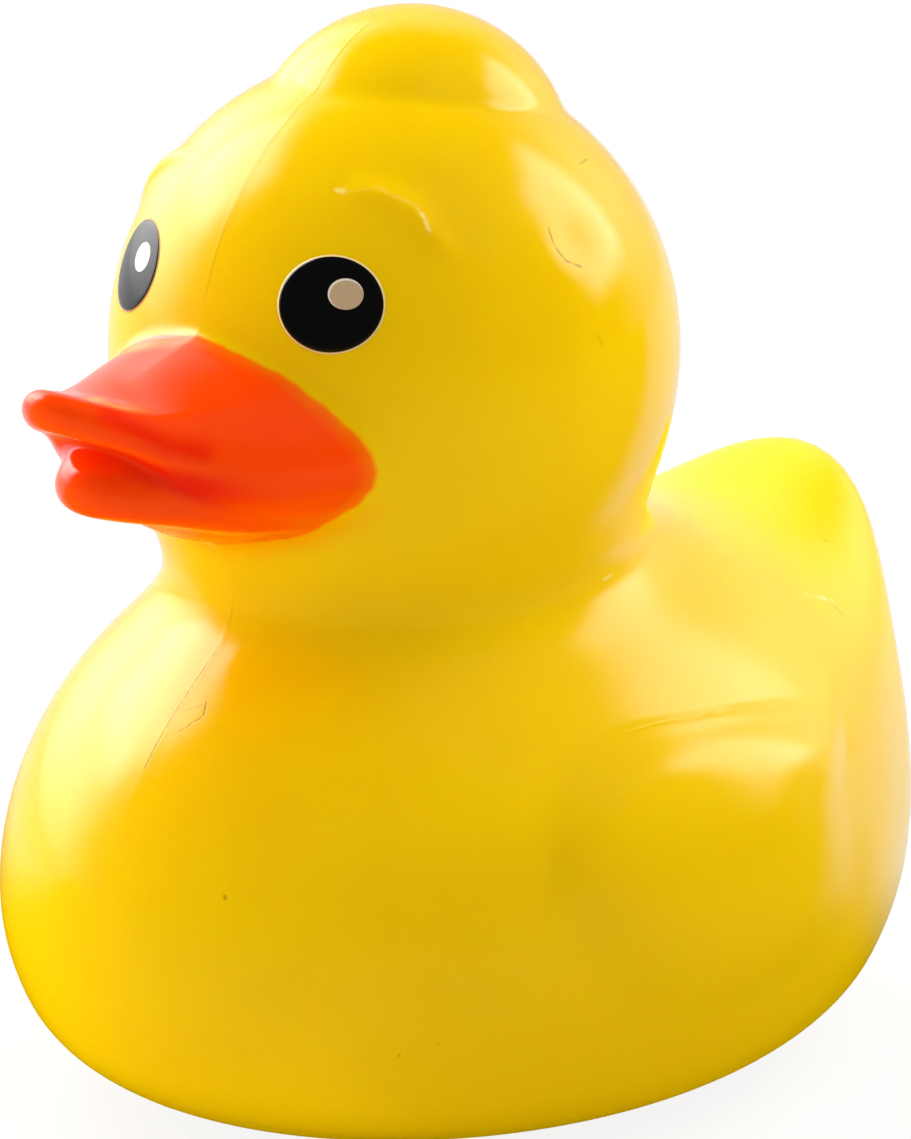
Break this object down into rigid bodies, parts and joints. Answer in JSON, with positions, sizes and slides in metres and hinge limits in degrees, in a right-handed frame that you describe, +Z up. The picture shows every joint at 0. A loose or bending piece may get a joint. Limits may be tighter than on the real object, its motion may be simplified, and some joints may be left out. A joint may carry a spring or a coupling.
{
  "type": "squishy toy duck",
  "caption": "Soft one-piece toy duck with a round head, crest, painted bill, printed eyes, low wings, upturned tail and a flat base to stand on.",
  "frame": {"origin": "centre of the bounding box's bottom face, on the flat base", "axes": "+Z up, -Y the way the bill points, +X towards the duck's left wing"},
  "size_m": [0.0736, 0.0996, 0.0937],
  "materials": {
    "duck_skin": "glossy soft yellow moulding",
    "eye_print": "glossy black printed oval with a cream rim and a pale glint"
  },
  "bodies": {
    "root": {"duck_body": "duck_skin"}
  },
  "joints": []
}
